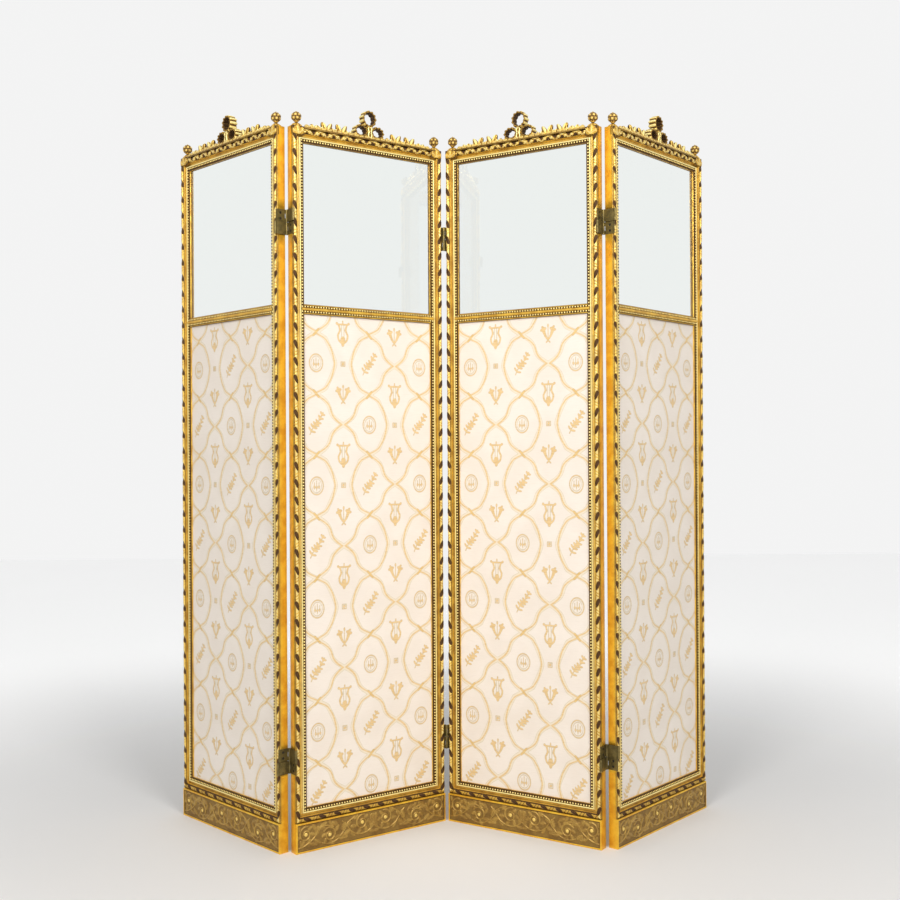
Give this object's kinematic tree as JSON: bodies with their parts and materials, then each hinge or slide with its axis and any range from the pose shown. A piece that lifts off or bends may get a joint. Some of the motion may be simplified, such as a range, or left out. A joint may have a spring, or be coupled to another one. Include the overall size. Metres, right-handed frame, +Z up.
{
  "type": "folding screen",
  "caption": "Giltwood folding screen of hinged leaves, each a mitred moulded frame with clear glass above a silk damask panel, a carved plinth, a ribbon-bow crest and ball finials.",
  "frame": {"origin": "on the floor, at the middle of the bounding box of the screen standing in its zigzag", "axes": "+Z up; +X to the right of someone looking at the moulded fronts; +Y from the fronts to the backs"},
  "size_m": [1.4034, 0.3566, 1.8209],
  "materials": {
    "giltwood": "carved wood, water gilt over red-brown bole, aged and rubbed, satin",
    "dark_gilt": "carved wood, old gilding darkened to bronze in the ground, worn bright on the high places",
    "stained_wood": "plain stained softwood, matt",
    "board": "thin plain board, unfinished",
    "silk": "cream silk damask, pale gold figure, soft sheen",
    "lining": "plain woven cotton lining, matt",
    "clear_glass": "clear sheet glass, polished",
    "hinge_brass": "dull olive brass, rubbed at the knuckles"
  },
  "bodies": {
    "leaf_2": {"leaf_2_left_stile": "giltwood", "leaf_2_right_stile": "giltwood", "leaf_2_top_rail": "giltwood", "leaf_2_mid_rail": "giltwood", "leaf_2_bottom_rail": "giltwood", "leaf_2_plinth": "dark_gilt", "leaf_2_crest": "giltwood", "leaf_2_finials": "dark_gilt", "leaf_2_glass": "clear_glass", "leaf_2_silk": "silk", "leaf_2_panel_board": "board", "leaf_2_stops": "stained_wood", "hinge_12_right_plates": "hinge_brass", "hinge_23_left_plates": "hinge_brass"},
    "leaf_1": {"leaf_1_left_stile": "giltwood", "leaf_1_right_stile": "giltwood", "leaf_1_top_rail": "giltwood", "leaf_1_mid_rail": "giltwood", "leaf_1_bottom_rail": "giltwood", "leaf_1_plinth": "dark_gilt", "leaf_1_crest": "giltwood", "leaf_1_finials": "dark_gilt", "leaf_1_glass": "clear_glass", "leaf_1_silk": "silk", "leaf_1_panel_board": "board", "leaf_1_stops": "stained_wood", "hinge_12_left_plates": "hinge_brass"},
    "leaf_3": {"leaf_3_left_stile": "giltwood", "leaf_3_right_stile": "giltwood", "leaf_3_top_rail": "giltwood", "leaf_3_mid_rail": "giltwood", "leaf_3_bottom_rail": "giltwood", "leaf_3_plinth": "dark_gilt", "leaf_3_crest": "giltwood", "leaf_3_finials": "dark_gilt", "leaf_3_glass": "clear_glass", "leaf_3_silk": "silk", "leaf_3_panel_board": "board", "leaf_3_stops": "stained_wood", "hinge_23_right_plates": "hinge_brass", "hinge_34_left_plates": "hinge_brass"},
    "leaf_4": {"leaf_4_left_stile": "giltwood", "leaf_4_right_stile": "giltwood", "leaf_4_top_rail": "giltwood", "leaf_4_mid_rail": "giltwood", "leaf_4_bottom_rail": "giltwood", "leaf_4_plinth": "dark_gilt", "leaf_4_crest": "giltwood", "leaf_4_finials": "dark_gilt", "leaf_4_glass": "clear_glass", "leaf_4_silk": "silk", "leaf_4_panel_board": "board", "leaf_4_stops": "stained_wood", "hinge_34_right_plates": "hinge_brass"},
    "upper_links_12": {"hinge_12_upper_links": "hinge_brass"},
    "lower_links_12": {"hinge_12_lower_links": "hinge_brass"},
    "upper_links_23": {"hinge_23_upper_links": "hinge_brass"},
    "lower_links_23": {"hinge_23_lower_links": "hinge_brass"},
    "upper_links_34": {"hinge_34_upper_links": "hinge_brass"},
    "lower_links_34": {"hinge_34_lower_links": "hinge_brass"}
  },
  "joints": [
    {"name": "fold_12_front", "type": "hinge", "parent": "leaf_2", "child": "upper_links_12", "pos_m": [-0.36509, -0.17529, 0.87], "axis": [0, 0, 1], "range_deg": [0, 180]},
    {"name": "fold_12_back", "type": "hinge", "parent": "upper_links_12", "child": "leaf_1", "pos_m": [-0.38412, -0.1476, 0.87], "axis": [0, 0, 1], "range_deg": [-97.5, 82.5]},
    {"name": "lower_link_12", "type": "hinge", "parent": "leaf_1", "child": "lower_links_12", "pos_m": [-0.40909, -0.17008, 0.87], "axis": [0, 0, 1], "range_deg": [-180, 0]},
    {"name": "fold_23_back", "type": "hinge", "parent": "leaf_2", "child": "upper_links_23", "pos_m": [-0.01903, 0.10332, 0.87], "axis": [0, 0, 1], "range_deg": [0, 150]},
    {"name": "fold_23_front", "type": "hinge", "parent": "upper_links_23", "child": "leaf_3", "pos_m": [0, 0.07563, 0.87], "axis": [0, 0, 1], "range_deg": [-111, 69]},
    {"name": "lower_link_23", "type": "hinge", "parent": "leaf_3", "child": "lower_links_23", "pos_m": [0.01903, 0.10332, 0.87], "axis": [0, 0, 1], "range_deg": [-150, 0]},
    {"name": "fold_34_front", "type": "hinge", "parent": "leaf_3", "child": "lower_links_34", "pos_m": [0.36509, -0.17529, 0.87], "axis": [0, 0, -1], "range_deg": [0, 180]},
    {"name": "fold_34_back", "type": "hinge", "parent": "lower_links_34", "child": "leaf_4", "pos_m": [0.38412, -0.1476, 0.87], "axis": [0, 0, -1], "range_deg": [-97.5, 82.5]},
    {"name": "upper_link_34", "type": "hinge", "parent": "leaf_4", "child": "upper_links_34", "pos_m": [0.40909, -0.17008, 0.87], "axis": [0, 0, -1], "range_deg": [-180, 0]}
  ],
  "couplings": [
    {"joint": "lower_link_12", "follows": "fold_12_front", "ratio": -1},
    {"joint": "lower_link_23", "follows": "fold_23_back", "ratio": -1},
    {"joint": "upper_link_34", "follows": "fold_34_front", "ratio": -1}
  ]
}
